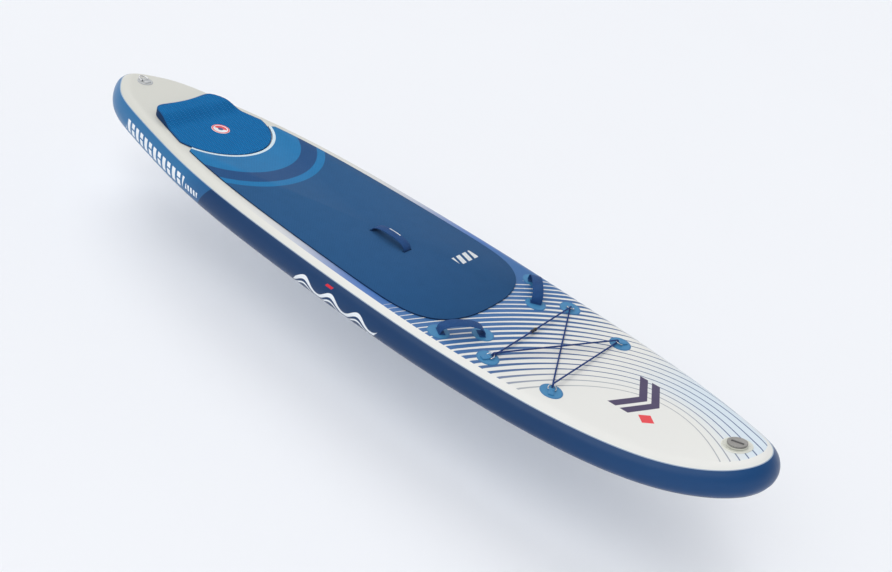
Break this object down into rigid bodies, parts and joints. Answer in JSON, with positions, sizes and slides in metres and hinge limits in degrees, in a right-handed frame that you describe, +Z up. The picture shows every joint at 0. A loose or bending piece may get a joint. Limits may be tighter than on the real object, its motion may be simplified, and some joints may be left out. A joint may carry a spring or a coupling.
{
  "type": "stand up paddleboard",
  "caption": "Inflatable stand up paddleboard with a foam deck pad, raised kick pad, webbing handles, laced bungee, screw valve and removable centre fin.",
  "frame": {"origin": "centre of the flat bottom, at mid length on the centre line", "axes": "+X towards the nose, +Y to port, +Z up out of the deck"},
  "size_m": [2.8957, 0.7628, 0.3677],
  "materials": {
    "hull_core": "woven drop-stitch cloth, the inside of the hull",
    "deck_pvc": "off-white coated PVC skin with printed stripes, satin",
    "bottom_pvc": "pale grey coated PVC skin, satin",
    "rail_pvc": "navy blue coated PVC strip, lighter blue at the tail, satin",
    "deck_foam": "brushed closed-cell foam, matt",
    "kick_foam": "diamond-grooved closed-cell foam, matt",
    "badge": "printed disc with plain rings",
    "patch_pvc": "mid-blue coated PVC patch, satin",
    "webbing": "navy polyester webbing",
    "steel": "polished stainless wire",
    "bungee": "braided shock cord",
    "black_plastic": "moulded black plastic",
    "valve_clear": "milky moulded plastic",
    "valve_grey": "grey moulded plastic",
    "rubber": "black rubber",
    "fin_plastic": "dark moulded plastic"
  },
  "bodies": {
    "hull": {"drop_stitch_core": "hull_core", "deck_skin": "deck_pvc", "bottom_skin": "bottom_pvc", "rail_band_port": "rail_pvc", "rail_band_starboard": "rail_pvc", "deck_pad": "deck_foam", "kick_pad": "kick_foam", "kick_pad_badge": "badge", "centre_handle_foot_aft": "webbing", "centre_handle_foot_fore": "webbing", "front_handle_port_foot_outer": "webbing", "front_handle_port_foot_inner": "webbing", "front_handle_port_patch_outer": "patch_pvc", "front_handle_port_patch_inner": "patch_pvc", "front_handle_starboard_foot_outer": "webbing", "front_handle_starboard_foot_inner": "webbing", "front_handle_starboard_patch_outer": "patch_pvc", "front_handle_starboard_patch_inner": "patch_pvc", "bungee_ring_rear_port_webbing": "webbing", "bungee_ring_rear_port_patch": "patch_pvc", "bungee_ring_rear_starboard_webbing": "webbing", "bungee_ring_rear_starboard_patch": "patch_pvc", "bungee_ring_front_port_webbing": "webbing", "bungee_ring_front_port_patch": "patch_pvc", "bungee_ring_front_starboard_webbing": "webbing", "bungee_ring_front_starboard_patch": "patch_pvc", "leash_ring_webbing": "webbing", "leash_ring_patch": "patch_pvc", "bungee_cord": "bungee", "bungee_joiner": "black_plastic", "valve_patch": "valve_clear", "valve_housing": "valve_clear", "valve_nut": "valve_grey", "valve_spring": "steel", "fin_box": "fin_plastic", "side_fin_port": "fin_plastic", "side_fin_starboard": "fin_plastic"},
    "centre_handle": {"centre_handle": "webbing"},
    "front_handle_port": {"front_handle_port": "webbing"},
    "front_handle_starboard": {"front_handle_starboard": "webbing"},
    "bungee_ring_rear_port": {"bungee_ring_rear_port": "steel"},
    "bungee_ring_rear_starboard": {"bungee_ring_rear_starboard": "steel"},
    "bungee_ring_front_port": {"bungee_ring_front_port": "steel"},
    "bungee_ring_front_starboard": {"bungee_ring_front_starboard": "steel"},
    "leash_ring": {"leash_ring": "steel"},
    "valve_lid": {"valve_gasket": "rubber"},
    "valve_cap": {"valve_cap": "valve_grey"},
    "valve_stem": {"valve_stem": "valve_grey", "valve_seal": "rubber"},
    "centre_fin": {"centre_fin": "fin_plastic"},
    "fin_lock": {"fin_lock": "black_plastic"}
  },
  "joints": [
    {"name": "centre_handle_swing", "type": "hinge", "parent": "hull", "child": "centre_handle", "pos_m": [-0.0725, 0, 0.1231], "axis": [1, 0, 0], "range_deg": [-30, 30]},
    {"name": "front_handle_port_swing", "type": "hinge", "parent": "hull", "child": "front_handle_port", "pos_m": [0.40897, 0.225, 0.12395], "axis": [0.6, -0.8, 0.005], "range_deg": [-30, 30]},
    {"name": "front_handle_starboard_swing", "type": "hinge", "parent": "hull", "child": "front_handle_starboard", "pos_m": [0.40897, -0.225, 0.12395], "axis": [0.6, 0.8, 0.005], "range_deg": [-30, 30]},
    {"name": "bungee_ring_rear_port_swing", "type": "hinge", "parent": "hull", "child": "bungee_ring_rear_port", "pos_m": [0.54298, 0.25525, 0.12806], "axis": [-0.9158, -0.4012, -0.017], "range_deg": [-4, 4]},
    {"name": "bungee_ring_rear_starboard_swing", "type": "hinge", "parent": "hull", "child": "bungee_ring_rear_starboard", "pos_m": [0.54298, -0.25525, 0.12806], "axis": [0.9158, -0.4012, 0.017], "range_deg": [-4, 4]},
    {"name": "bungee_ring_front_port_swing", "type": "hinge", "parent": "hull", "child": "bungee_ring_front_port", "pos_m": [0.76526, 0.22332, 0.13413], "axis": [-0.8938, 0.4472, -0.0326], "range_deg": [-4, 4]},
    {"name": "bungee_ring_front_starboard_swing", "type": "hinge", "parent": "hull", "child": "bungee_ring_front_starboard", "pos_m": [0.76526, -0.22332, 0.13413], "axis": [0.8938, 0.4472, 0.0326], "range_deg": [-4, 4]},
    {"name": "leash_ring_swing", "type": "hinge", "parent": "hull", "child": "leash_ring", "pos_m": [-1.336, 0, 0.1266], "axis": [0, 1, 0], "range_deg": [0, 150]},
    {"name": "valve_cap_lift", "type": "slide", "parent": "hull", "child": "valve_lid", "axis": [-0.2838, 0, 0.9589], "range_m": [0, 0.05]},
    {"name": "valve_cap_turn", "type": "hinge", "parent": "valve_lid", "child": "valve_cap", "pos_m": [1.30197, 0, 0.18483], "axis": [-0.2838, 0, 0.9589], "range_deg": [0, 90]},
    {"name": "valve_stem_push", "type": "slide", "parent": "hull", "child": "valve_stem", "axis": [0.2838, 0, -0.9589], "range_m": [0, 0.005], "stiffness_N_per_m": 400, "springref_m": -0.002, "deforming": ["valve_spring"]},
    {"name": "centre_fin_slide", "type": "slide", "parent": "hull", "child": "centre_fin", "axis": [-1, 0, 0], "range_m": [0, 0.19]},
    {"name": "fin_lock_turn", "type": "hinge", "parent": "centre_fin", "child": "fin_lock", "pos_m": [-1.0795, 0, -0.0058], "axis": [0, -1, 0], "range_deg": [0, 80]}
  ]
}
